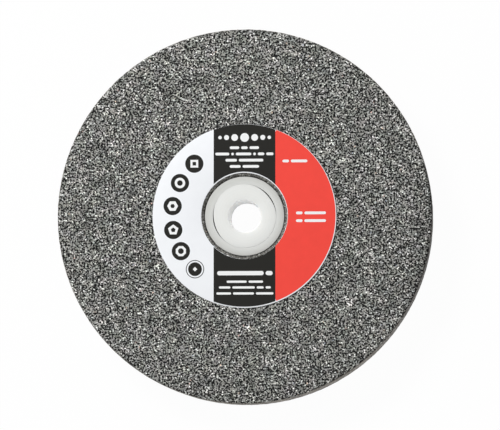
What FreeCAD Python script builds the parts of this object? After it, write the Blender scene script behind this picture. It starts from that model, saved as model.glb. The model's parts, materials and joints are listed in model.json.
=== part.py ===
import FreeCAD, Part
import os
import Sketcher

# A bench grinding wheel: a flat vitrified abrasive disc with a paper blotter glued to each face,
# and a large bore brought down to the spindle's size by two plastic bushes, one inside the other.
# It lies on its rear blotter. The wheel's axis is +Z, and the printed front face looks up.
# The origin is on the axis, in the plane that the rear blotter rests on.

# Driving dimensions, in millimetres.
DIMENSIONS = {
    # The abrasive disc. Its bore has a wide bevel at each face.
    "wheel_diameter": 150.0,
    "wheel_thickness": 20.0,
    "wheel_bore": 32.0,
    "wheel_corner_bevel": 0.4,
    "bore_bevel": 0.9,
    # The paper blotters, which spread the load of the clamping flanges. The hole's edge stands
    # back from the wheel's bore.
    "blotter_diameter": 73.5,
    "blotter_hole_setback": 1.25,
    "blotter_thickness": 0.5,
    # The outer bush fills the wheel's bore, and stops just short of both faces.
    "bush_recess": 0.4,
    "bush_fit_clearance": 0.08,
    "bush_lead_in": 0.2,
    "outer_bush_wall": 3.22,
    "bush_inner_break": 0.2,
    # The inner bush fits inside the outer one, stands a little above it at both ends,
    # and carries the spindle bore.
    "nest_fit_clearance": 0.05,
    "nest_step": 0.2,
    "nest_corner_break": 0.3,
    "spindle_bore": 12.7,
    "spindle_bore_lead_in": 0.4,
}

# Sizes that follow from the driving ones, as expressions.
WHEEL_FRONT = "(sizes.blotter_thickness + sizes.wheel_thickness)"
BLOTTER_HOLE = "(sizes.wheel_bore + 2 * sizes.blotter_hole_setback)"
OUTER_BUSH_OUTSIDE = "(sizes.wheel_bore - 2 * sizes.bush_fit_clearance)"
OUTER_BUSH_BORE = f"({OUTER_BUSH_OUTSIDE} - 2 * sizes.outer_bush_wall)"
OUTER_BUSH_FOOT = "(sizes.blotter_thickness + sizes.bush_recess)"
OUTER_BUSH_LENGTH = "(sizes.wheel_thickness - 2 * sizes.bush_recess)"


def make_sheet(doc):
    """Puts the driving dimensions in a spreadsheet, one alias for each."""
    sheet = doc.addObject("Spreadsheet::Sheet", "sizes")
    sheet.set("A1", "Dimension")
    sheet.set("B1", "Millimetres")
    for row, (alias, value) in enumerate(DIMENSIONS.items(), start=2):
        sheet.set(f"A{row}", alias.replace("_", " "))
        sheet.set(f"B{row}", str(value))
        sheet.setAlias(f"B{row}", alias)
    doc.recompute()


def make_body(doc, name):
    """Adds a body whose label names its STEP file."""
    body = doc.addObject("PartDesign::Body", name)
    body.Label = name
    return body


def origin_plane(body, role):
    """Finds one of the body's own origin planes."""
    return next(item for item in body.Origin.OriginFeatures if item.Role == role)


def ring_sketch(body, name, outer, inner, height):
    """Draws two circles about the axis, at a height above the rest plane. Sizes are expressions."""
    sketch = body.newObject("Sketcher::SketchObject", name)
    sketch.AttachmentSupport = [(origin_plane(body, "XY_Plane"), "")]
    sketch.MapMode = "FlatFace"
    sketch.setExpression("AttachmentOffset.Base.z", height)
    centre, up = FreeCAD.Vector(0, 0, 0), FreeCAD.Vector(0, 0, 1)
    for label, start_radius, diameter in (("outer", 2.0, outer), ("inner", 1.0, inner)):
        circle = sketch.addGeometry(Part.Circle(centre, up, start_radius), False)
        sketch.addConstraint(Sketcher.Constraint("Coincident", circle, 3, -1, 1))
        rule = sketch.addConstraint(Sketcher.Constraint("Diameter", circle, 2 * start_radius))
        sketch.renameConstraint(rule, label)
        sketch.setExpression(f"Constraints.{label}", diameter)
    return sketch


def half_section(body, name, outer, inner, bottom, top):
    """Draws the rectangle to the right of the axis that a ring is turned from."""
    sketch = body.newObject("Sketcher::SketchObject", name)
    sketch.AttachmentSupport = [(origin_plane(body, "XZ_Plane"), "")]
    sketch.MapMode = "FlatFace"
    corners = [FreeCAD.Vector(x, y, 0) for x, y in ((1, 0), (2, 0), (2, 1), (1, 1))]
    for start in range(4):
        end = (start + 1) % 4
        sketch.addGeometry(Part.LineSegment(corners[start], corners[end]), False)
    for side in range(4):
        sketch.addConstraint(Sketcher.Constraint("Coincident", side, 2, (side + 1) % 4, 1))
    for side, kind in enumerate(("Horizontal", "Vertical", "Horizontal", "Vertical")):
        sketch.addConstraint(Sketcher.Constraint(kind, side))
    # Each edge's distance from the origin: a line's number, its point, and the way it is measured.
    rules = (
        ("inner", 0, 1, "DistanceX", 1.0, inner),
        ("outer", 1, 1, "DistanceX", 2.0, outer),
        ("bottom", 0, 1, "DistanceY", 0.1, bottom),
        ("top", 2, 1, "DistanceY", 1.0, top),
    )
    for label, line, point, kind, start_value, size in rules:
        rule = sketch.addConstraint(Sketcher.Constraint(kind, -1, 1, line, point, start_value))
        sketch.renameConstraint(rule, label)
        sketch.setExpression(f"Constraints.{label}", size)
    return sketch


def pad(body, sketch, name, length):
    """Pads a sketch upwards by an expression."""
    feature = body.newObject("PartDesign::Pad", name)
    feature.Profile = sketch
    feature.setExpression("Length", length)
    sketch.Visibility = False
    body.Document.recompute()
    return feature


def turn(body, sketch, name):
    """Turns a half section once round the sketch's upright axis."""
    feature = body.newObject("PartDesign::Revolution", name)
    feature.Profile = sketch
    feature.ReferenceAxis = (sketch, ["V_Axis"])
    feature.Angle = 360.0
    sketch.Visibility = False
    body.Document.recompute()
    return feature


def rims(feature, pick):
    """Names a ring's two widest (pick is max) or narrowest (pick is min) round edges."""
    radii = {}
    for number, edge in enumerate(feature.Shape.Edges, start=1):
        if isinstance(edge.Curve, Part.Circle):
            radii[f"Edge{number}"] = edge.Curve.Radius
    wanted = pick(radii.values())
    return [name for name, radius in radii.items() if abs(radius - wanted) < 1e-6]


def bevel(body, name, base, pick, size):
    """Bevels the outer (pick is max) or inner (pick is min) rims of the ring that base has made."""
    feature = body.newObject("PartDesign::Chamfer", name)
    feature.Base = (base, rims(base, pick))
    feature.setExpression("Size", size)
    body.Document.recompute()
    return feature


def make_abrasive_wheel(doc):
    """The pressed and fired disc of grit, standing on the rear blotter."""
    body = make_body(doc, "abrasive_wheel")
    section = half_section(
        body,
        "wheel_section",
        outer="sizes.wheel_diameter / 2",
        inner="sizes.wheel_bore / 2",
        bottom="sizes.blotter_thickness",
        top=WHEEL_FRONT,
    )
    disc = turn(body, section, "wheel_disc")
    dressed = bevel(body, "dressed_rims", disc, max, "sizes.wheel_corner_bevel")
    bevel(body, "bore_mouths", dressed, min, "sizes.bore_bevel")
    return body


def make_blotter(doc, name, height):
    """A paper washer that is glued to one face of the disc."""
    body = make_body(doc, name)
    outline = ring_sketch(
        body, name + "_outline", "sizes.blotter_diameter", BLOTTER_HOLE, height
    )
    pad(body, outline, name + "_sheet", "sizes.blotter_thickness")
    return body


def make_outer_bush(doc):
    """The plastic ring between the wheel's bore and the inner bush."""
    body = make_body(doc, "outer_bush")
    outline = ring_sketch(
        body, "outer_bush_outline", OUTER_BUSH_OUTSIDE, OUTER_BUSH_BORE, OUTER_BUSH_FOOT
    )
    ring = pad(body, outline, "outer_bush_ring", OUTER_BUSH_LENGTH)
    led_in = bevel(body, "outer_bush_lead_ins", ring, max, "sizes.bush_lead_in")
    bevel(body, "outer_bush_mouths", led_in, min, "sizes.bush_inner_break")
    return body


def make_inner_bush(doc):
    """The plastic ring that brings the bore down to the spindle."""
    body = make_body(doc, "inner_bush")
    outline = ring_sketch(
        body,
        "inner_bush_outline",
        f"{OUTER_BUSH_BORE} - 2 * sizes.nest_fit_clearance",
        "sizes.spindle_bore",
        f"{OUTER_BUSH_FOOT} - sizes.nest_step",
    )
    ring = pad(body, outline, "inner_bush_ring", f"{OUTER_BUSH_LENGTH} + 2 * sizes.nest_step")
    eased = bevel(body, "inner_bush_rims", ring, max, "sizes.nest_corner_break")
    bevel(body, "spindle_bore_lead_ins", eased, min, "sizes.spindle_bore_lead_in")
    return body


def check(doc, bodies):
    """Stops if any feature failed, or if a piece isn't one sound solid."""
    for item in doc.Objects:
        if {"Invalid", "Error"} & set(item.State):
            raise RuntimeError(f"{item.Label} failed: {item.State}")
    for body in bodies:
        shape = body.Shape
        if shape.isNull() or not shape.isValid() or len(shape.Solids) != 1:
            raise RuntimeError(f"{body.Label} is not one valid solid")


def main():
    doc = FreeCAD.newDocument("grinding_wheel")
    make_sheet(doc)
    bodies = [
        make_abrasive_wheel(doc),
        make_blotter(doc, "rear_blotter", "0 mm"),
        make_blotter(doc, "front_blotter", WHEEL_FRONT),
        make_outer_bush(doc),
        make_inner_bush(doc),
    ]
    doc.recompute()
    check(doc, bodies)
    os.makedirs("parts", exist_ok=True)
    for body in bodies:
        body.Shape.exportStep(f"parts/{body.Label}.step")
        print(body.Label, round(body.Shape.Volume, 1), "mm3", body.Shape.BoundBox)


main()
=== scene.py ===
import json
import math

import bmesh
import bpy
import numpy as np
from mathutils import Matrix, Vector


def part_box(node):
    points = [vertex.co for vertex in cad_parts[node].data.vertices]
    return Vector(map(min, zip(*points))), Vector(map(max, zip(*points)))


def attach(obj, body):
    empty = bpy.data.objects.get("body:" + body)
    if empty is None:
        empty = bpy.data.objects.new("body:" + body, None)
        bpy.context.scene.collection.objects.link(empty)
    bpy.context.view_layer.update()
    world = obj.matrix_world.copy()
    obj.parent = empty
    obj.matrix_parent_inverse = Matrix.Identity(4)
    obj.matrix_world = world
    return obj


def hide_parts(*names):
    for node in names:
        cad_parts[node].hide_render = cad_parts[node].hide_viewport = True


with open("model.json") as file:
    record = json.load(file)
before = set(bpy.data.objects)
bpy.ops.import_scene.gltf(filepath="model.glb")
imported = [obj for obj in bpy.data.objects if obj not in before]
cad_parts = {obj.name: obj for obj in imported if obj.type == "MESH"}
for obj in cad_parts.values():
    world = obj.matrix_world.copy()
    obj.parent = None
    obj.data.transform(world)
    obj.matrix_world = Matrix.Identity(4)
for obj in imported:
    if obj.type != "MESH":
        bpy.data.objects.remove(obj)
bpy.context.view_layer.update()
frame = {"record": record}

mm = 0.001  # every size below is in millimetres, and becomes metres here
weld = 0.0001  # mm, points closer than this become one
rng = np.random.default_rng(36)

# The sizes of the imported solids, in millimetres, which every piece here is fitted to.
wheelLow, wheelHigh = [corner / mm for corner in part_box("abrasive_wheel")]
frontLow, frontHigh = [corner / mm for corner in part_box("front_blotter")]
rearLow, rearHigh = [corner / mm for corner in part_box("rear_blotter")]
outerLow, outerHigh = [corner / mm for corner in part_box("outer_bush")]
innerLow, innerHigh = [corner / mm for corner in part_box("inner_bush")]
print("frame loaded: wheel", round(2 * wheelHigh.x, 2), "mm across,", round(frontHigh.z, 2), "mm thick")


# Colours and nodes

# sRGB to linear: c / 12.92 below 0.04045, and ((c + 0.055) / 1.055) ^ 2.4 above it.
def hexColour(code):
    channels = [int(code[i:i + 2], 16) / 255 for i in (1, 3, 5)]
    return [c / 12.92 if c < 0.04045 else ((c + 0.055) / 1.055) ** 2.4 for c in channels] + [1.0]


# Adds a node: settings go on the node, and each of inputs is a value or another node's output. A Mix node
# also has hidden sockets called A and B, which are passed over.
def addNode(tree, kind, inputs=(), **settings):
    node = tree.nodes.new(kind)
    for key, value in settings.items():
        setattr(node, key, value)
    for name, value in dict(inputs).items():
        shown = [socket for socket in node.inputs if socket.enabled and socket.name == name]
        socket = shown[0] if shown else node.inputs[name]
        if isinstance(value, bpy.types.NodeSocket):
            tree.links.new(value, socket)
        else:
            socket.default_value = value
    return node


numberMath, vectorMath = "ShaderNodeMath", "ShaderNodeVectorMath"
noise, cells = "ShaderNodeTexNoise", "ShaderNodeTexVoronoi"


# One step of arithmetic: the values go into the node's sockets in order, and named ones by their names.
def reckon(tree, kind, operation, *values, **named):
    node = addNode(tree, kind, {**dict(enumerate(values)), **named}, operation=operation)
    return node.outputs["Value" if operation in ("LENGTH", "DOT_PRODUCT") else 0]


# A number carried from one span onto another, and held at both ends.
def carried(tree, value, span=(0.0, 1.0), onto=(0.0, 1.0)):
    limits = {"From Min": span[0], "From Max": span[1], "To Min": onto[0], "To Max": onto[1]}
    return addNode(tree, "ShaderNodeMapRange", {"Value": value, **limits}).outputs[0]


# Two colours mixed, with share of the second.
def mixed(tree, share, first, second):
    inputs = {"Factor": share, "A": first, "B": second}
    return addNode(tree, "ShaderNodeMix", inputs, data_type="RGBA").outputs["Result"]


# A ramp from (position, grey level or hex colour) pairs.
def ramp(tree, value, stops, steps=False):
    node = addNode(tree, "ShaderNodeValToRGB", {"Fac": value})
    if steps:
        node.color_ramp.interpolation = "CONSTANT"
    elements = node.color_ramp.elements
    while len(elements) < len(stops):
        elements.new(0.5)
    for element, (position, colour) in zip(elements, stops):
        element.position = position
        element.color = hexColour(colour) if isinstance(colour, str) else (colour, colour, colour, 1)
    return node.outputs["Color"]


# A noise or cell pattern whose features are size mm across.
def pattern(tree, kind, place, size, **levels):
    return addNode(tree, kind, {"Vector": place, "Scale": 1 / (size * mm), **levels})


# How far a place is from the wheel's axis.
def axisDistance(tree, place):
    return reckon(tree, vectorMath, "LENGTH", reckon(tree, vectorMath, "MULTIPLY", place, (1, 1, 0)))


# Unevenness too fine to model, lift mm high.
def addBump(tree, shader, height, strength, lift):
    bump = addNode(tree, "ShaderNodeBump", {"Height": height, "Strength": strength, "Distance": lift * mm})
    tree.links.new(bump.outputs["Normal"], shader.inputs["Normal"])


# A new material with only its shader and output.
def newMaterial(name, **shine):
    material = bpy.data.materials.new(name)
    material.use_nodes = True
    tree = material.node_tree
    shader = tree.nodes["Principled BSDF"]
    for socket, value in shine.items():
        shader.inputs[socket.replace("_", " ")].default_value = value
    return material, tree, shader


# Vitrified grit: crushed grains of fused alumina fired together with a glassy bond.
# It gives the eye a light grey web of crystal faces and bond, broken by near-black grains and pores.
grit = {
    "grain": 0.66,  # mm across: a 36 grit is 0.54, too fine to show here, so it is drawn coarser
    "facet": 0.25,  # mm across, the crystal faces within a grain
    "facetLight": (0.5, 1.5),  # the darkest and the lightest of them, as shares of the grain's grey
    "tones": [(0.0, 0.002), (0.40, 0.012), (0.50, 0.13), (0.64, 0.32), (0.80, 0.68), (0.95, 1.0)],
    "hues": [(0.0, "#FCFEFA"), (0.975, "#FCFEFA"), (0.985, "#F2DCC8"), (0.991, "#ECCABF"),
             (0.996, "#DCE4F2")],
    "warp": 0.35,  # mm, how far the grains' outlines are pulled out of shape
    "bend": 1.3,  # grains from one pull to the next
    "web": (0.42, 0.62),  # grains from the middle of one to where the bond starts, and hides it
    "bond": "#9A9A95",  # the glassy web between the grains
    "pore": 0.70,  # mm across, the hollows that the burnt-out filler left
    "poreEdge": (0.42, 0.49),  # levels of its noise, at a hollow's floor and at its brim
    "poreLight": (0.0, 1.03),  # the light that reaches them
    "mottle": 4.0,  # mm across, the uneven press of the mix
    "press": (0.25, 0.75),  # levels of its noise, loosely and tightly pressed
    "pressLight": (0.64, 1.36),  # what that does to the grey
    "tint": 0.14,  # how far the mottle's colour leaves grey
    "rimFade": (0.4, 0.15),  # mm inside the rim, where the trued skin starts and where it is whole
    "rimShare": 0.5,  # how much of the grain it hides
    "dressing": 9.0,  # mm from one light or dark stretch of the trued rim to the next
    "dressed": [(0.34, "#7A7168"), (0.64, "#B9AFA3")],  # the trued rim, faintly brown
    "bevelGreyShade": ("#1B1A17", "#85827C"),  # the pressed bevel's even grey, with painted shade darkening it to near black at its foot, in the groove by the bush
    "bevelGreyShadeShare": 0.6,  # how much of the grain the pressed grey and its painted shade hide
    "bevelGreyShadeFade": 0.4,  # mm past the bevel's edge over which it ends
    "firedAt": -7.0,  # degrees from +X, the edge of the wheel that is darkest in its painted shade, turned away from the key lamp
    "firedReach": (0.86, 0.98),  # shares of the radius that way, where the dark starts and is full
    "fired": (0.8, 0.36),  # what is left of the colour there, on the faces and on the rim
    "firedRim": (1.5, 0.2),  # mm inside the rim, from the one to the other
    "dull": (0.38, 0.92),  # roughness of the glassiest and of the dullest grain
    "shine": 0.15,
    "relief": 0.16,  # mm, the depth of the bump
    "bump": 0.8,
}


def gritMaterial():
    material, tree, shader = newMaterial("vitrifiedGrit", Specular_IOR_Level=grit["shine"])
    place = addNode(tree, "ShaderNodeTexCoord").outputs["Object"]
    pull = pattern(tree, noise, place, grit["grain"] * grit["bend"], Detail=1.0)
    reach = (grit["warp"] * mm,) * 3
    warped = reckon(tree, vectorMath, "MULTIPLY_ADD", pull.outputs["Color"], reach, place)
    grains = pattern(tree, cells, warped, grit["grain"])
    facets = pattern(tree, cells, warped, grit["facet"])
    chance = addNode(tree, "ShaderNodeSeparateColor", {"Color": grains.outputs["Color"]})
    spark = addNode(tree, "ShaderNodeSeparateColor", {"Color": facets.outputs["Color"]})
    tone = ramp(tree, chance.outputs["Red"], grit["tones"])
    hue = ramp(tree, chance.outputs["Green"], grit["hues"], steps=True)
    grey = reckon(tree, vectorMath, "MULTIPLY", tone, hue)
    web = carried(tree, grains.outputs["Distance"], grit["web"])
    webbed = mixed(tree, web, grey, hexColour(grit["bond"]))

    hollow = pattern(tree, noise, place, grit["pore"], Detail=0.0)
    pore = carried(tree, hollow.outputs["Fac"], grit["poreEdge"], grit["poreLight"])
    face = carried(tree, spark.outputs["Red"], onto=grit["facetLight"])
    mottle = pattern(tree, noise, place, grit["mottle"])
    press = carried(tree, mottle.outputs["Fac"], grit["press"], grit["pressLight"])
    shade = reckon(tree, numberMath, "MULTIPLY", pore, face)
    shade = reckon(tree, numberMath, "MULTIPLY", shade, press)
    swing, level = (grit["tint"],) * 3, (1 - grit["tint"] / 2,) * 3
    tint = reckon(tree, vectorMath, "MULTIPLY_ADD", mottle.outputs["Color"], swing, level)
    tinted = reckon(tree, vectorMath, "MULTIPLY", webbed, tint)
    colour = reckon(tree, vectorMath, "SCALE", tinted, Scale=shade)

    # The rim was trued with a dresser, and the bore's bevel pressed: both are more even than the faces.
    radius = axisDistance(tree, place)
    rim = carried(tree, radius, [(wheelHigh.x - depth) * mm for depth in grit["rimFade"]],
                  (0.0, grit["rimShare"]))
    streak = pattern(tree, noise, place, grit["dressing"])
    trued = mixed(tree, rim, colour, ramp(tree, streak.outputs["Fac"], grit["dressed"]))
    # The bore's bevel: an even pressed grey, with painted shade that darkens it to near black at its foot,
    # in the groove by the bush.
    bevelEdge = wheel["boreRadius"] + wheel["boreBevel"]
    climb = carried(tree, radius, (wheel["boreRadius"] * mm, bevelEdge * mm))
    bevelShadedGrey = mixed(tree, climb, *[hexColour(code) for code in grit["bevelGreyShade"]])
    bevelGreyShade = carried(tree, radius, (bevelEdge * mm, (bevelEdge + grit["bevelGreyShadeFade"]) * mm),
                   (grit["bevelGreyShadeShare"], 0.0))
    withBevelShade = mixed(tree, bevelGreyShade, trued, bevelShadedGrey)

    # Painted shade: the wheel's edge on the side turned away from the key lamp is darkened, most on the
    # rim.
    turned = math.radians(grit["firedAt"])
    side = reckon(tree, vectorMath, "DOT_PRODUCT", place, (math.cos(turned), math.sin(turned), 0))
    darkest = carried(tree, radius, [(wheelHigh.x - depth) * mm for depth in grit["firedRim"]],
                      grit["fired"])
    fired = carried(tree, side, [share * wheelHigh.x * mm for share in grit["firedReach"]], (1.0, darkest))
    final = reckon(tree, vectorMath, "SCALE", withBevelShade, Scale=fired)
    tree.links.new(final, shader.inputs["Base Color"])
    tree.links.new(carried(tree, chance.outputs["Blue"], onto=grit["dull"]), shader.inputs["Roughness"])
    height = reckon(tree, numberMath, "MULTIPLY", pore, spark.outputs["Green"])
    addBump(tree, shader, height, grit["bump"], grit["relief"])
    return material


# A coated or uncoated sheet: its colour drifts a little with the fibre, which also lifts the surface.
paper = {
    "fibre": 0.35,  # mm across
    "cloud": 4.0,  # mm across, the look-through of the sheet
    "swing": (0.6, 1.4),  # levels of the two noises' sum, at the darkest and at the palest
    "lift": 0.012,  # mm, the height of the fibre
    "bump": 0.5,
    "shine": 0.2,
}


def sheetMaterial(name, colour, drift, roughness):
    material, tree, shader = newMaterial(name, Roughness=roughness, Specular_IOR_Level=paper["shine"])
    place = addNode(tree, "ShaderNodeTexCoord").outputs["Object"]
    fibre = pattern(tree, noise, place, paper["fibre"], Detail=3.0).outputs["Fac"]
    cloud = pattern(tree, noise, place, paper["cloud"], Detail=2.0).outputs["Fac"]
    both = reckon(tree, numberMath, "ADD", fibre, cloud)
    gain = carried(tree, both, paper["swing"], (1 - drift, 1 + drift))
    tinted = reckon(tree, vectorMath, "SCALE", hexColour(colour)[:3], Scale=gain)
    tree.links.new(tinted, shader.inputs["Base Color"])
    addBump(tree, shader, fibre, paper["bump"], paper["lift"])
    return material


# Natural polyamide, injection moulded: a milky white with a soft shine and faint flow rings. More of the
# light goes under the skin round the spindle bore, where painted light also whitens the inner bush's bore
# wall. The outer bush is a greyer plastic, with painted shade darkening it from its mouth outwards.
nylon = {
    "flowRing": 1.1,  # mm from one faint ring to the next
    "ringWander": 1.5,  # how far the rings leave a true circle
    "speck": 0.5,  # mm across, the unevenness of the skin
    "outer": [(12.7, "#D8D9D6"), (14.3, "#CCCDC9"), (15.9, "#C2C2BE")],  # radius in mm, colour: a greyer plastic, with painted shade darkening it outwards towards the wheel's bore wall
    # radius in mm, colour: painted light whitens the bore wall at 6.3 mm, over the milky white
    "inner": [(6.3, "#FEFEFC"), (6.9, "#E6E7E4"), (12.7, "#E1E2DF")],
    "milk": 6.0,  # mm that the light goes under the skin
    "milkReach": (1.0, 0.95, 0.9),  # shares of it that red, green and blue light go
    "glow": (1.0, 0.15),  # share of the light that does so, at the bore and away from it
    "glowEnds": 8.5,  # mm from the axis
    "dull": 0.42,
    "bends": 1.53,  # index of refraction
    "shine": 0.3,
    "lift": 0.006,  # mm
    "bump": 0.4,
}


def nylonMaterial(name, bands, drift):
    material, tree, shader = newMaterial(name, Roughness=nylon["dull"], IOR=nylon["bends"],
                                         Specular_IOR_Level=nylon["shine"],
                                         Subsurface_Scale=nylon["milk"] * mm,
                                         Subsurface_Radius=nylon["milkReach"])
    place = addNode(tree, "ShaderNodeTexCoord").outputs["Object"]
    # At scale 1 the wave's rings are pi / 10 apart.
    rings = addNode(tree, "ShaderNodeTexWave",
                    {"Vector": place, "Scale": math.pi / 10 / (nylon["flowRing"] * mm),
                     "Distortion": nylon["ringWander"], "Detail": 2.0},
                    wave_type="RINGS", rings_direction="Z")
    speck = pattern(tree, noise, place, nylon["speck"], Detail=2.0)
    both = reckon(tree, numberMath, "ADD", rings.outputs["Fac"], speck.outputs["Fac"])
    gain = carried(tree, both, (0.0, 2.0), (1 - drift, 1 + drift))
    # Colour by radius, from the bands: painted light on the inner bush's bore wall, and painted shade
    # outwards on the outer bush.
    radius = axisDistance(tree, place)
    first, last = bands[0][0], bands[-1][0]
    outwards = carried(tree, radius, (first * mm, last * mm))
    band = ramp(tree, outwards, [((r - first) / (last - first), colour) for r, colour in bands])
    tinted = reckon(tree, vectorMath, "SCALE", band, Scale=gain)
    tree.links.new(tinted, shader.inputs["Base Color"])
    glow = carried(tree, radius, (nylon["inner"][0][0] * mm, nylon["glowEnds"] * mm), nylon["glow"])
    tree.links.new(glow, shader.inputs["Subsurface Weight"])
    addBump(tree, shader, both, nylon["bump"], nylon["lift"])
    return material


whitePaper = sheetMaterial("coatedWhitePaper", "#EEF0F3", 0.02, 0.5)
greyPaper = sheetMaterial("uncoatedBlotterPaper", "#CFC8B8", 0.06, 0.85)
blackInk = sheetMaterial("blackPrintedInk", "#0E0D08", 0.10, 0.45)
redInk = sheetMaterial("redPrintedInk", "#EE483D", 0.04, 0.45)
whiteInk = sheetMaterial("whiteUnprintedMarks", "#EDEEEE", 0.02, 0.5)
outerNylon = nylonMaterial("mouldedNylonOuter", nylon["outer"], 0.02)
innerNylon = nylonMaterial("mouldedNylonInner", nylon["inner"], 0.012)
print("materials ready:", len(bpy.data.materials))


# Surfaces

# Puts arrays of points (mm) and faces into a new mesh object at the origin. A pole's points become one.
def addPiece(name, points, faces, material, smooth=True):
    mesh = bpy.data.meshes.new(name)
    mesh.from_pydata((np.asarray(points) * mm).tolist(), [], np.asarray(faces).tolist())
    net = bmesh.new()
    net.from_mesh(mesh)
    bmesh.ops.remove_doubles(net, verts=net.verts, dist=weld * mm)
    net.to_mesh(mesh)
    net.free()
    mesh.polygons.foreach_set("use_smooth", np.full(len(mesh.polygons), smooth))
    mesh.materials.append(material)
    piece = bpy.data.objects.new(name, mesh)
    bpy.context.scene.collection.objects.link(piece)
    return piece


# Shades flat faces flat, and the rounds between them smooth.
def sharpByAngle(piece, degrees=40):
    piece.data.set_sharp_from_angle(angle=math.radians(degrees))


# Faces of a grid: cell (k, j) joins rows k and k + 1 and columns j and j + 1. The columns wrap round, and
# so do the rows, unless the first and last are poles.
def wrappedQuads(rows, columns, poles=False):
    k, j = np.meshgrid(np.arange(rows - poles), np.arange(columns), indexing="ij")
    above, beside = (k + 1) % rows, (j + 1) % columns
    corners = [k * columns + j, k * columns + beside, above * columns + beside, above * columns + j]
    return np.stack(corners, axis=-1).reshape(-1, 4)


# A ring: the closed profile (r, z) carried round the axis, x = r cos a and y = r sin a, with
# a = 2 pi j / steps. widen gives, for each angle, what is added to the radius at the front face's outer
# edge, which is the part of the profile past the middle in both r and z.
def turnedRing(profile, steps, widen=None):
    angle = np.arange(steps) * 2 * math.pi / steps
    radius = np.repeat(profile[:, :1], steps, axis=1)
    if widen is not None:
        edge = (profile > profile.min(axis=0) + 0.5 * np.ptp(profile, axis=0)).all(axis=1)
        radius = radius + edge[:, None] * widen(angle)[None, :]
    height = np.repeat(profile[:, 1:], steps, axis=1)
    points = np.stack([radius * np.cos(angle), radius * np.sin(angle), height], axis=-1)
    return points.reshape(-1, 3), wrappedQuads(len(profile), steps)


# Points from start to end, one about every pitch, without the last.
def stretch(start, end, pitch):
    start, end = np.array(start, float), np.array(end, float)
    count = max(1, round(np.linalg.norm(end - start) / pitch))
    return start + (end - start) * (np.arange(count) / count)[:, None]


# A rectangle's corners rounded to quarter arcs: corner centre + e (cos t, sin t), anticlockwise.
def roundedSection(inner, outer, low, high, easeInner, easeOuter, arcSteps=5):
    loop = []
    corners = ((outer, low, easeOuter, -90), (outer, high, easeOuter, 0),
               (inner, high, easeInner, 90), (inner, low, easeInner, 180))
    for r, z, ease, turnFrom in corners:
        t = np.radians(turnFrom + np.linspace(0, 90, arcSteps))
        centreR = r - ease if r == outer else r + ease
        centreZ = z + ease if z == low else z - ease
        loop.append(np.stack([centreR + ease * np.cos(t), centreZ + ease * np.sin(t)], axis=1))
    return np.concatenate(loop)


# Random numbers on a cubic lattice of side cell, blended between the eight corners round each point by
# s = t t (3 - 2 t) along each axis.
def latticeNoise(points, cell):
    scaled = points / cell
    base = np.floor(scaled).astype(int)
    low = base.min(axis=0)
    lattice = rng.random(tuple(base.max(axis=0) - low + 2))
    part = scaled - base
    part = part * part * (3 - 2 * part)
    base = base - low
    total = np.zeros(len(points))
    for corner in np.ndindex(2, 2, 2):
        step = np.array(corner)
        weight = np.where(step == 1, part, 1 - part).prod(axis=1)
        total += weight * lattice[tuple((base + step).T)]
    return total


# The disc of grit. Its section is carried round the axis, and every exposed point is then sunk into the
# disc by relief x noise and slid about in the surface by shuffle x a random part of the pitch.
wheel = {
    "pitch": 0.74,  # mm between points of the exposed faces
    "hiddenPitch": 6.0,  # mm, under the paper and behind the bush
    "paperCover": (0.15, 0.25),  # mm of rough face under the paper, at its hole and at its edge
    "bevelPitch": 0.3,
    "rimBevel": 0.4,
    "boreRadius": 16.0,
    "boreBevel": 0.9,
    "grainCell": 0.85,  # mm
    "relief": 0.28,  # mm, the deepest pit
    "shuffle": 0.32,
    "rimRelief": 0.5,  # share of the relief that the dressed rim keeps
    "crumble": 1.4,  # how many times deeper the pits are at the rim's two corners, where grains break out
}


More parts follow.
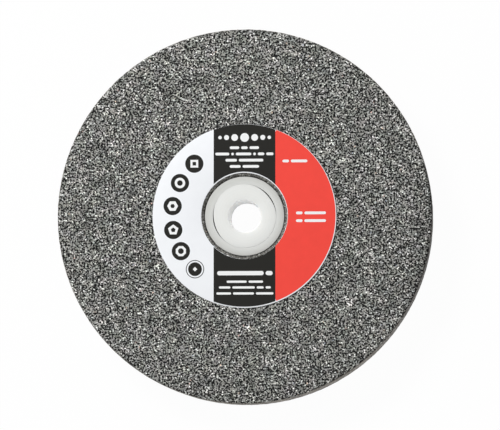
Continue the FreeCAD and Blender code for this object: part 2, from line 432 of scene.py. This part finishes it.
def makeWheel():
    low, high, outside = wheelLow.z, wheelHigh.z, wheelHigh.x
    bore, bevel = wheel["boreRadius"], wheel["boreBevel"]
    paperHole = blotter["holeRadius"] + wheel["paperCover"][0]
    paperEdge = frontHigh.x - wheel["paperCover"][1]
    pitch, wide, fine = wheel["pitch"], wheel["hiddenPitch"], wheel["bevelPitch"]
    rimBevel = wheel["rimBevel"]
    # (start, end, spacing, share of the relief), once round the section, anticlockwise
    stretches = [
        ((bore + bevel, low), (paperHole, low), fine, 1.0),
        ((paperHole, low), (paperEdge, low), wide, 0.0),
        ((paperEdge, low), (outside - rimBevel, low), pitch, 1.0),
        ((outside - rimBevel, low), (outside, low + rimBevel), fine, wheel["crumble"]),
        ((outside, low + rimBevel), (outside, high - rimBevel), pitch, wheel["rimRelief"]),
        ((outside, high - rimBevel), (outside - rimBevel, high), fine, wheel["crumble"]),
        ((outside - rimBevel, high), (paperEdge, high), pitch, 1.0),
        ((paperEdge, high), (paperHole, high), wide, 0.0),
        ((paperHole, high), (bore + bevel, high), fine, 1.0),
        ((bore + bevel, high), (bore, high - bevel), fine, 1.0),
        ((bore, high - bevel), (bore, low + bevel), wide, 0.0),
        ((bore, low + bevel), (bore + bevel, low), fine, 1.0),
    ]
    parts = [stretch(start, end, gap) for start, end, gap, _ in stretches]
    share = np.concatenate([np.full(len(part), s[3]) for part, s in zip(parts, stretches)])
    spacing = np.concatenate([np.full(len(part), min(s[2], pitch)) for part, s in zip(parts, stretches)])
    profile = np.concatenate(parts)
    along = np.roll(profile, -1, axis=0) - np.roll(profile, 1, axis=0)
    along = along / np.linalg.norm(along, axis=1, keepdims=True)
    inward = np.stack([-along[:, 1], along[:, 0]], axis=1)
    steps = round(2 * math.pi * outside / pitch)
    angle = np.arange(steps) * 2 * math.pi / steps
    shape = (len(profile), steps)
    loose = np.minimum(share, 1) * wheel["shuffle"] * 2
    slide = (rng.random(shape) - 0.5) * (spacing * loose)[:, None]
    swing = (rng.random(shape) - 0.5) * loose[:, None] * 2 * math.pi / steps
    radius = profile[:, :1] + slide * along[:, :1]
    height = profile[:, 1:] + slide * along[:, 1:]
    turn = angle[None, :] + swing
    points = np.stack([radius * np.cos(turn), radius * np.sin(turn), height], axis=-1).reshape(-1, 3)
    depth = latticeNoise(points, wheel["grainCell"]) * wheel["relief"]
    depth = depth * np.repeat(share, steps)
    inwardR, inwardZ = np.repeat(inward[:, 0], steps), np.repeat(inward[:, 1], steps)
    spin = turn.ravel()
    points += np.stack([inwardR * np.cos(spin), inwardR * np.sin(spin), inwardZ], axis=1) * depth[:, None]
    # Nothing passes the solid's own faces.
    points[:, 2] = np.clip(points[:, 2], low, high)
    reach = np.hypot(points[:, 0], points[:, 1])
    points[:, :2] *= np.minimum(1, outside / reach)[:, None]
    piece = addPiece("gritWheel", points, wrappedQuads(*shape), gritMaterial())
    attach(piece, "root")
    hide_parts("abrasive_wheel")
    print("grit wheel:", len(piece.data.polygons) * 2, "triangles")


# The two blotters, each a ring of paper with eased edges.
blotter = {
    "holeRadius": 17.25,
    "ease": 0.06,  # mm, where the die pressed the cut edge down
    "steps": 256,
    "inkBuild": 0.02,  # mm that each layer of print adds to the front sheet
}


def makeBlotter(name, low, high, node, material):
    ease = blotter["ease"]
    section = roundedSection(blotter["holeRadius"], frontHigh.x, low, high, ease, ease)
    points, faces = turnedRing(section, blotter["steps"])
    piece = addPiece(name, points, faces, material)
    sharpByAngle(piece)
    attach(piece, "root")
    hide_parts(node)


# A plate of ink between two outlines of as many points: the outlines are the rows, at two heights.
# open plates get an end face at each end, and closed ones wrap round.
def inkPlate(innerLine, outerLine, low, high, closed):
    rows = [(innerLine, low), (outerLine, low), (outerLine, high), (innerLine, high)]
    points = np.concatenate([np.column_stack([line, np.full(len(line), z)]) for line, z in rows])
    columns = len(innerLine)
    quads = wrappedQuads(4, columns)
    if not closed:
        quads = quads[np.arange(len(quads)) % columns != columns - 1]
        ends = np.array([[0, columns, 2 * columns, 3 * columns],
                         [4 * columns - 1, 3 * columns - 1, 2 * columns - 1, columns - 1]])
        quads = np.concatenate([quads, ends])
    return points, quads


# Several plates as one mesh.
def joined(plates):
    offsets = np.cumsum([0] + [len(points) for points, _ in plates[:-1]])
    points = np.concatenate([points for points, _ in plates])
    faces = np.concatenate([faces + offset for (_, faces), offset in zip(plates, offsets)])
    return points, faces


# An arc about a centre: centre + r (cos t, sin t).
def arc(centre, radius, fromDegrees, toDegrees, count):
    t = np.radians(np.linspace(fromDegrees, toDegrees, count))
    return np.stack([centre[0] + radius * np.cos(t), centre[1] + radius * np.sin(t)], axis=1)


# A regular outline about a centre: r cos(pi/n) / cos((t mod 2 pi/n) - pi/n) for n sides, or r for a
# round one.
def outline(centre, radius, sides, count, turnDegrees=0):
    t = np.arange(count) * 2 * math.pi / count
    reach = np.full(count, float(radius))
    if sides:
        half = math.pi / sides
        reach = radius * math.cos(half) / np.cos(np.mod(t, 2 * half) - half)
    t = t + math.radians(turnDegrees)
    return np.stack([centre[0] + reach * np.cos(t), centre[1] + reach * np.sin(t)], axis=1)


# A filled plate: its rows are a pole under the middle, the outline at two heights, and a pole over it.
def filledPlate(line, low, high):
    middle = np.repeat(line.mean(axis=0)[None, :], len(line), axis=0)
    rows = [(middle, low), (line, low), (line, high), (middle, high)]
    points = np.concatenate([np.column_stack([row, np.full(len(row), z)]) for row, z in rows])
    return points, wrappedQuads(4, len(line), poles=True)


# Turns faces to look the other way.
def flip(plate):
    points, faces = plate
    return points, faces[:, ::-1]


# A bar with round ends: a half circle of radius height / 2 at each end.
def bar(start, end, y, height, low, high):
    radius = height / 2
    right = arc((end - radius, y), radius, -90, 90, label["endPoints"])
    left = arc((start + radius, y), radius, 90, 270, label["endPoints"])
    return filledPlate(np.concatenate([right, left]), low, high)


# The label's print, measured from the wheel's axis, in mm. The print sits a little high on its sheet, so
# a white edge shows under the outer rim and over the hole.
label = {
    "shift": (-0.08, 0.2),
    "outerRadius": 36.5,
    "holeRadius": 17.48,
    "bandLeft": -12.3,
    "bandRight": 12.4,
    "discRadius": 3.65,
    "discCircle": 29.0,
    "discAngles": (133.7, 152.8, 172.0, 191.0, 208.9, 227.1),
    # each disc's mark: sides (0 is round), size, turn in degrees, size of the hole in it
    "marks": ((4, 2.2, 45, 1.0), (0, 2.1, 0, 1.1), (6, 2.2, 0, 0.9), (5, 2.2, 90, 1.0),
              (8, 2.2, 22.5, 1.2)),
    # the last disc has none: it is a thin ring round a smaller disc with a square in it
    "ringWidth": 0.3,
    "ringInset": 0.9,
    "squareRadius": 0.9,
    "wordGap": 0.75,
    # rows of plain bars: centre x, centre y, height, and each bar's length
    "rows": (
        (0.0, 27.3, 1.1, (3.8, 2.6, 3.8)),
        (0.0, 24.8, 1.1, (5.6, 1.1, 6.2, 1.1, 2.6, 2.9)),
        (0.0, 22.3, 1.1, (4.6, 9.8)),
        (0.0, 19.8, 1.1, (4.4, 6.6)),
        (0.2, -22.9, 1.7, (18.6, 2.8)),
        (0.2, -26.3, 0.9, (8.0, 5.8)),
        (0.2, -28.6, 0.9, (4.6, 9.0, 2.8, 2.1)),
        (0.2, -31.0, 0.9, (5.9, 8.4, 7.0)),
        (20.2, 21.9, 1.1, (2.6, 6.6)),
        (26.6, 1.1, 1.1, (2.6, 8.6)),
        (26.6, -2.0, 1.1, (2.6, 8.6)),
    ),
    # a row of discs that grow and shrink, in the head of the band
    "beads": (0.7, 1.0, 1.35, 1.75, 1.35, 1.0, 0.7),
    "beadsAt": (0.1, 31.4),
    "beadGap": 0.9,
    # points of each arc of the band, of the red field's edge, of a mark, of a bead and of a bar's end
    "bandPoints": 65,
    "fieldPoints": 257,
    "markPoints": 96,
    "beadPoints": 48,
    "endPoints": 17,
}


# The band and the fields are bounded by the print's two circles and by upright lines, so each corner's
# angle is acos(x / R).
def makePrint():
    sheetTop = frontHigh.z - 2 * blotter["inkBuild"]
    first = (sheetTop - blotter["inkBuild"], sheetTop + blotter["inkBuild"])
    second = (sheetTop, frontHigh.z)
    centre = label["shift"]
    wide, narrow = label["outerRadius"], label["holeRadius"]
    left, right = label["bandLeft"] - centre[0], label["bandRight"] - centre[0]
    corner = {(x, r): math.degrees(math.acos(x / r)) for x in (left, right) for r in (wide, narrow)}

    # The band over the hole and the one under it, each with its two arcs drawn clockwise.
    bands = []
    for half in (1, -1):
        lines = []
        for r in (narrow, wide):
            span = sorted((half * corner[left, r], half * corner[right, r]), reverse=True)
            lines.append(arc(centre, r, *span, label["bandPoints"]))
        bands.append(flip(inkPlate(*lines, *first, closed=False)))
    discs, rings, marks = [], [], []
    count, size = label["markPoints"], label["discRadius"]
    for index, angle in enumerate(label["discAngles"]):
        turned = math.radians(angle)
        spot = (label["discCircle"] * math.cos(turned), label["discCircle"] * math.sin(turned))
        if index < len(label["marks"]):
            sides, reach, turnBy, hole = label["marks"][index]
            discs.append(filledPlate(outline(spot, size, 0, count), *first))
            marks.append(inkPlate(outline(spot, hole, sides, count, turnBy),
                                  outline(spot, reach, sides, count, turnBy), *second, closed=True))
        else:
            rings.append(inkPlate(outline(spot, size - label["ringWidth"], 0, count),
                                  outline(spot, size, 0, count), *first, closed=True))
            discs.append(filledPlate(outline(spot, size - label["ringInset"], 0, count), *first))
            marks.append(filledPlate(outline(spot, label["squareRadius"], 4, count), *second))
    blackPiece = addPiece("blackPrint", *joined(bands + discs + rings), blackInk, False)

    # The red field's inner edge follows the hole, and above and below it the band's straight side.
    sweep = np.radians(np.linspace(-corner[right, wide], corner[right, wide], label["fieldPoints"]))
    inside = np.maximum(narrow, right / np.cos(sweep))
    innerLine = np.stack([centre[0] + inside * np.cos(sweep), centre[1] + inside * np.sin(sweep)], axis=1)
    outerLine = arc(centre, wide, -corner[right, wide], corner[right, wide], label["fieldPoints"])
    redPiece = addPiece("redPrint", *inkPlate(innerLine[1:-1], outerLine[1:-1], *first, closed=False),
                        redInk, False)

    for x, y, height, words in label["rows"]:
        reach = sum(words) + label["wordGap"] * (len(words) - 1)
        start = x - reach / 2
        for word in words:
            marks.append(bar(start, start + word, y, height, *second))
            start += word + label["wordGap"]
    reach = 2 * sum(label["beads"]) + label["beadGap"] * (len(label["beads"]) - 1)
    start = label["beadsAt"][0] - reach / 2
    for bead in label["beads"]:
        spot = (start + bead, label["beadsAt"][1])
        marks.append(filledPlate(outline(spot, bead, 0, label["beadPoints"]), *second))
        start += 2 * bead + label["beadGap"]
    markPiece = addPiece("whiteMarks", *joined(marks), whiteInk, False)
    for piece in (blackPiece, redPiece, markPiece):
        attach(piece, "root")


# The two bushes. Each fills its play at the foot, and has shrunk away at the front edge, which leaves a
# dark line. The inner one's radius there falls by opens x the sum over openPlaces of
# exp(-(angle from the place / openSpread)^2), and the outer one's by
# stands + leaves x (1 + cos(angle from leavesAt)) / 2.
bush = {
    "outerEase": 0.2,
    "mouthRadius": 12.70,
    "mouthEase": 0.02,
    "nestEase": 0.04,
    "boreEase": 0.35,
    "steps": 320,
    "settles": 0.1,  # mm by which the inner bush's face is lower than the solid's
    "fills": (0.07, 0.045),  # mm, of the outer bush's play and the inner one's
    "opens": 0.42,  # mm
    "openPlaces": (38, 194),  # degrees
    "openSpread": 27,
    "stands": 0.07,  # mm
    "leaves": 0.14,  # mm
    "leavesAt": 120,  # degrees
}


def innerGap(angle):
    gap = np.zeros_like(angle)
    for place in bush["openPlaces"]:
        away = np.degrees(np.angle(np.exp(1j * (angle - math.radians(place)))))
        gap -= bush["opens"] * np.exp(-(away / bush["openSpread"]) ** 2)
    return gap


def outerGap(angle):
    return -bush["stands"] - bush["leaves"] * (1 + np.cos(angle - math.radians(bush["leavesAt"]))) / 2


def makeBushes():
    boreRadius = frame["record"]["mounts"][0]["dims"]["r_mm"]
    outer = roundedSection(bush["mouthRadius"], outerHigh.x + bush["fills"][0], outerLow.z, outerHigh.z,
                           bush["mouthEase"], bush["outerEase"])
    inner = roundedSection(boreRadius, innerHigh.x + bush["fills"][1], innerLow.z,
                           innerHigh.z - bush["settles"], bush["boreEase"], bush["nestEase"])
    rows = (
        ("outerReducingBush", outer, outerGap, "outer_bush", "outer_bush_plastic", outerNylon),
        ("innerReducingBush", inner, innerGap, "inner_bush", "inner_bush_plastic", innerNylon),
    )
    for name, section, widen, node, slot, material in rows:
        piece = addPiece(name, *turnedRing(section, bush["steps"], widen), material)
        sharpByAngle(piece)
        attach(piece, "root")
        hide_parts(node)


makeWheel()
sheetFront = frontHigh.z - 2 * blotter["inkBuild"]
makeBlotter("frontSheet", frontLow.z, sheetFront, "front_blotter", whitePaper)
makeBlotter("rearSheet", rearLow.z, rearHigh.z, "rear_blotter", greyPaper)
makePrint()
makeBushes()


# The floor, the lamps and the camera

studio = {
    "floorSize": 4000,
    "floorDrop": 0.02,  # mm below the wheel, so that their faces don't meet
    "floorColour": "#E9E9E9",
    "floorGlow": 0.97,  # how much of the floor is seen plain white, which leaves the shadow faint
    "worldLight": 0.37,
    "keyAt": (-500, 560, 850),
    "keySize": 420,
    "keyPower": 10.4,
    "fillAt": (-150, -750, 650),
    "fillSize": 600,
    "fillPower": 0.6,
    # The table shines up through the bore: a lit patch just over the floor, as white as the floor looks.
    "tableAt": (-1.8, -1.6, -0.01),
    "tableSize": 6.2,
    "tablePower": 0.0001,
}


# A white that only the camera, mirrors and clear things see, mixed over what the surface really is.
def seenWhite(tree, real, share):
    ray = addNode(tree, "ShaderNodeLightPath").outputs
    seen = reckon(tree, numberMath, "MAXIMUM", ray["Is Camera Ray"], ray["Is Glossy Ray"])
    seen = reckon(tree, numberMath, "MAXIMUM", seen, ray["Is Transmission Ray"])
    amount = reckon(tree, numberMath, "MULTIPLY", seen, share)
    kind = "ShaderNodeBackground" if share == 1 else "ShaderNodeEmission"
    glow = addNode(tree, kind, {"Color": (1, 1, 1, 1), "Strength": 1.0})
    return addNode(tree, "ShaderNodeMixShader", {0: amount, 1: real, 2: glow.outputs[0]})


def makeFloor():
    half = studio["floorSize"] / 2
    drop = -studio["floorDrop"]
    corners = [(-half, -half, drop), (half, -half, drop), (half, half, drop), (-half, half, drop)]
    material, tree, shader = newMaterial("paleFloor", Roughness=0.9)
    shader.inputs["Base Color"].default_value = hexColour(studio["floorColour"])
    surface = seenWhite(tree, shader.outputs[0], studio["floorGlow"])
    tree.links.new(surface.outputs[0], tree.nodes["Material Output"].inputs["Surface"])
    addPiece("floor", corners, [(0, 1, 2, 3)], material)


def makeWorld():
    world = bpy.data.worlds.new("softRoom")
    world.use_nodes = True
    bpy.context.scene.world = world
    tree = world.node_tree
    room = tree.nodes["Background"]
    room.inputs["Color"].default_value = (1, 1, 1, 1)
    room.inputs["Strength"].default_value = studio["worldLight"]
    surface = seenWhite(tree, room.outputs[0], 1)
    tree.links.new(surface.outputs[0], tree.nodes["World Output"].inputs["Surface"])


# A round lamp of size mm and power watts that faces aim.
def addLamp(name, place, size, power, aim=(0, 0, 0)):
    lamp = bpy.data.lights.new(name, "AREA")
    lamp.shape = "DISK"
    lamp.size = size * mm
    lamp.energy = power
    holder = bpy.data.objects.new(name, lamp)
    holder.location = Vector(place) * mm
    holder.rotation_euler = (Vector(aim) - Vector(place)).to_track_quat("-Z", "Y").to_euler()
    bpy.context.scene.collection.objects.link(holder)


# The camera stands almost straight above the wheel, a little to the lower right, with the label upright.
# It looks from its place to lookAt, and its up is the wheel's +Y as far as that line allows.
view = {
    "azimuth": 40.0,
    "elevation": 84.9,
    "distance": 1800,
    "pixelsPerMm": 2.505,
    "imageWidth": 500,
    "sensorWidth": 36.0,
    "lookAt": (2.22, 0.37),
    "farthest": 20,  # metres
}


def makeCamera():
    azimuth, elevation = math.radians(view["azimuth"]), math.radians(view["elevation"])
    away = Vector((math.sin(azimuth) * math.cos(elevation), -math.cos(azimuth) * math.cos(elevation),
                   math.sin(elevation)))
    target = Vector((*view["lookAt"], wheelHigh.z)) * mm
    right = Vector((0, 1, 0)).cross(away).normalized()
    up = away.cross(right)
    camera = bpy.data.cameras.new("camera")
    camera.sensor_width = view["sensorWidth"]
    camera.lens = view["pixelsPerMm"] * view["distance"] / view["imageWidth"] * view["sensorWidth"]
    camera.clip_end = view["farthest"]
    holder = bpy.data.objects.new("camera", camera)
    turn = Matrix((right, up, away)).transposed().to_4x4()
    holder.matrix_world = Matrix.Translation(target + away * view["distance"] * mm) @ turn
    bpy.context.scene.collection.objects.link(holder)
    bpy.context.scene.camera = holder


makeFloor()
makeWorld()
addLamp("keyLamp", studio["keyAt"], studio["keySize"], studio["keyPower"])
addLamp("fillLamp", studio["fillAt"], studio["fillSize"], studio["fillPower"])
addLamp("litTable", studio["tableAt"], studio["tableSize"], studio["tablePower"],
        aim=(*studio["tableAt"][:2], 1))
makeCamera()
bpy.context.scene.view_settings.view_transform = "Standard"
print("studio ready")
